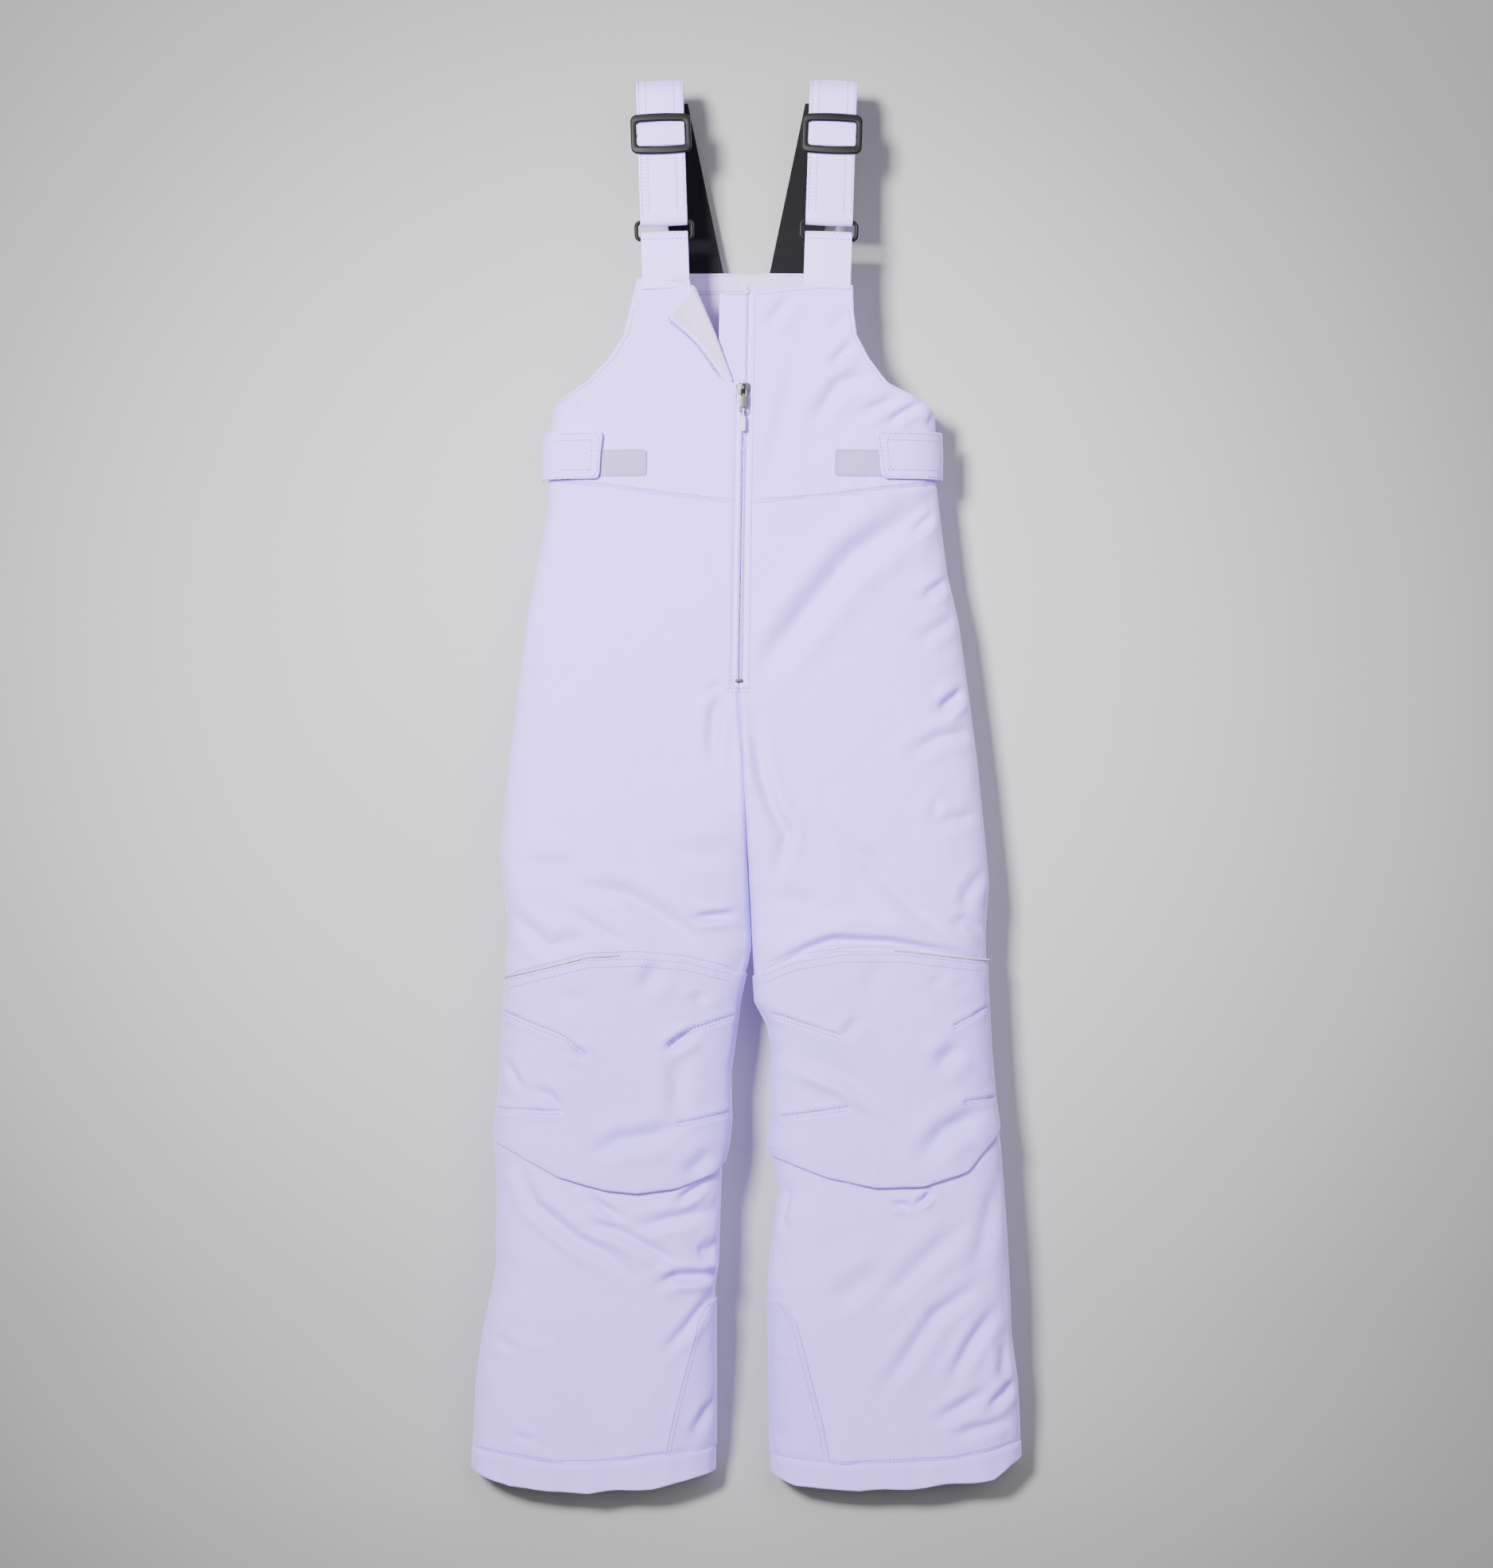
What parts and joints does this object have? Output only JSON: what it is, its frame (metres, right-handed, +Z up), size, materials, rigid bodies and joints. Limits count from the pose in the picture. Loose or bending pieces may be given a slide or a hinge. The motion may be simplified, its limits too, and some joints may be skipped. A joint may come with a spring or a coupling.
{
  "type": "insulated ski bib pants",
  "caption": "Child's insulated ski bib pants with an adjustable webbing strap over each shoulder, a front zip, reinforced knees, ankle guards and snow cuffs.",
  "frame": {"origin": "midway between the undersides of the two shoulder strap arches, where a hanger bar carries the garment", "axes": "+Z up, the wearer faces -Y, +X is the wearer's left"},
  "size_m": [0.4506, 0.0897, 1.1622],
  "materials": {
    "shell_fabric": "water-repellent woven face, insulated and lined",
    "knee_fabric": "tough twill face",
    "lining_fabric": "smooth lining",
    "webbing": "flat woven webbing with stitched edges",
    "loop_pile": "hook and loop pile",
    "black_elastic": "ribbed woven elastic",
    "black_resin": "moulded, fine grain",
    "coil_resin": "zip coil",
    "zip_metal": "dull plated zinc",
    "grip_resin": "soft moulded grip",
    "reflective": "reflective piping"
  },
  "bodies": {
    "garment": {"bib_back": "shell_fabric", "back_facing": "lining_fabric", "back_waist_elastic": "black_elastic", "left_zip_tape": "shell_fabric", "left_zip_coil": "coil_resin", "left_zip_top_stop": "coil_resin", "right_zip_tape": "shell_fabric", "right_zip_coil": "coil_resin", "zip_bottom_stop": "coil_resin", "wind_flap": "shell_fabric", "left_bib_front": "shell_fabric", "left_front_thigh": "shell_fabric", "left_back_thigh": "shell_fabric", "left_knee_panel": "knee_fabric", "left_front_shin": "shell_fabric", "left_back_calf": "shell_fabric", "left_hem_band": "knee_fabric", "left_scuff_guard": "knee_fabric", "left_snow_cuff": "lining_fabric", "left_cuff_elastic": "black_elastic", "left_knee_piping": "reflective", "left_strap": "webbing", "left_strap_return": "webbing", "left_strap_root": "webbing", "left_back_elastic": "black_elastic", "left_loop_patch": "loop_pile", "right_bib_front": "shell_fabric", "right_front_thigh": "shell_fabric", "right_back_thigh": "shell_fabric", "right_knee_panel": "knee_fabric", "right_front_shin": "shell_fabric", "right_back_calf": "shell_fabric", "right_hem_band": "knee_fabric", "right_scuff_guard": "knee_fabric", "right_snow_cuff": "lining_fabric", "right_cuff_elastic": "black_elastic", "right_knee_piping": "reflective", "right_strap": "webbing", "right_strap_return": "webbing", "right_strap_root": "webbing", "right_back_elastic": "black_elastic", "right_loop_patch": "loop_pile"},
    "zip_slider": {"zip_slider": "zip_metal"},
    "zip_pull": {"zip_pull": "zip_metal"},
    "zip_pull_grip": {"zip_pull_grip": "grip_resin"},
    "lapel": {"lapel": "shell_fabric", "lapel_zip_tape": "shell_fabric", "lapel_zip_coil": "coil_resin", "lapel_zip_top_stop": "coil_resin"},
    "left_glide": {"left_tri_glide": "black_resin"},
    "left_ring": {"left_strap_ring": "black_resin"},
    "left_tab": {"left_waist_tab": "shell_fabric", "left_hook_patch": "loop_pile"},
    "right_glide": {"right_tri_glide": "black_resin"},
    "right_ring": {"right_strap_ring": "black_resin"},
    "right_tab": {"right_waist_tab": "shell_fabric", "right_hook_patch": "loop_pile"}
  },
  "joints": [
    {"name": "zip_slide", "type": "slide", "parent": "garment", "child": "zip_slider", "axis": [0.016, 0, 0.9999], "range_m": [-0.228, 0.072]},
    {"name": "zip_pull_swing", "type": "hinge", "parent": "zip_slider", "child": "zip_pull", "pos_m": [-0.00233, -0.0393, -0.2555], "axis": [-0.9999, 0, 0.016], "range_deg": [0, 165]},
    {"name": "grip_swing", "type": "hinge", "parent": "zip_pull", "child": "zip_pull_grip", "pos_m": [-0.00265, -0.0393, -0.2757], "axis": [-0.9999, 0, 0.016], "range_deg": [-5, 40]},
    {"name": "lapel_fold", "type": "hinge", "parent": "garment", "child": "lapel", "pos_m": [-0.0104, -0.034, -0.252], "axis": [-0.4024, 0, 0.9155], "range_deg": [0, 165]},
    {"name": "left_glide_slide", "type": "slide", "parent": "garment", "child": "left_glide", "axis": [0.0347, 0.0941, 0.995], "range_m": [-0.045, 0.012], "deforming": ["left_strap_return"]},
    {"name": "left_ring_swing", "type": "hinge", "parent": "garment", "child": "left_ring", "pos_m": [0.06764, -0.02348, -0.11797], "axis": [0.9994, 0, -0.0349], "range_deg": [-10, 10]},
    {"name": "left_tab_open", "type": "hinge", "parent": "garment", "child": "left_tab", "pos_m": [0.1646, 0, -0.3095], "axis": [0, 0, 1], "range_deg": [0, 110]},
    {"name": "right_glide_slide", "type": "slide", "parent": "garment", "child": "right_glide", "axis": [-0.0347, 0.0941, 0.995], "range_m": [-0.045, 0.012], "deforming": ["right_strap_return"]},
    {"name": "right_ring_swing", "type": "hinge", "parent": "garment", "child": "right_ring", "pos_m": [-0.06764, -0.02348, -0.11797], "axis": [0.9994, 0, 0.0349], "range_deg": [-10, 10]},
    {"name": "right_tab_open", "type": "hinge", "parent": "garment", "child": "right_tab", "pos_m": [-0.1646, 0, -0.3095], "axis": [0, 0, -1], "range_deg": [0, 110]}
  ]
}
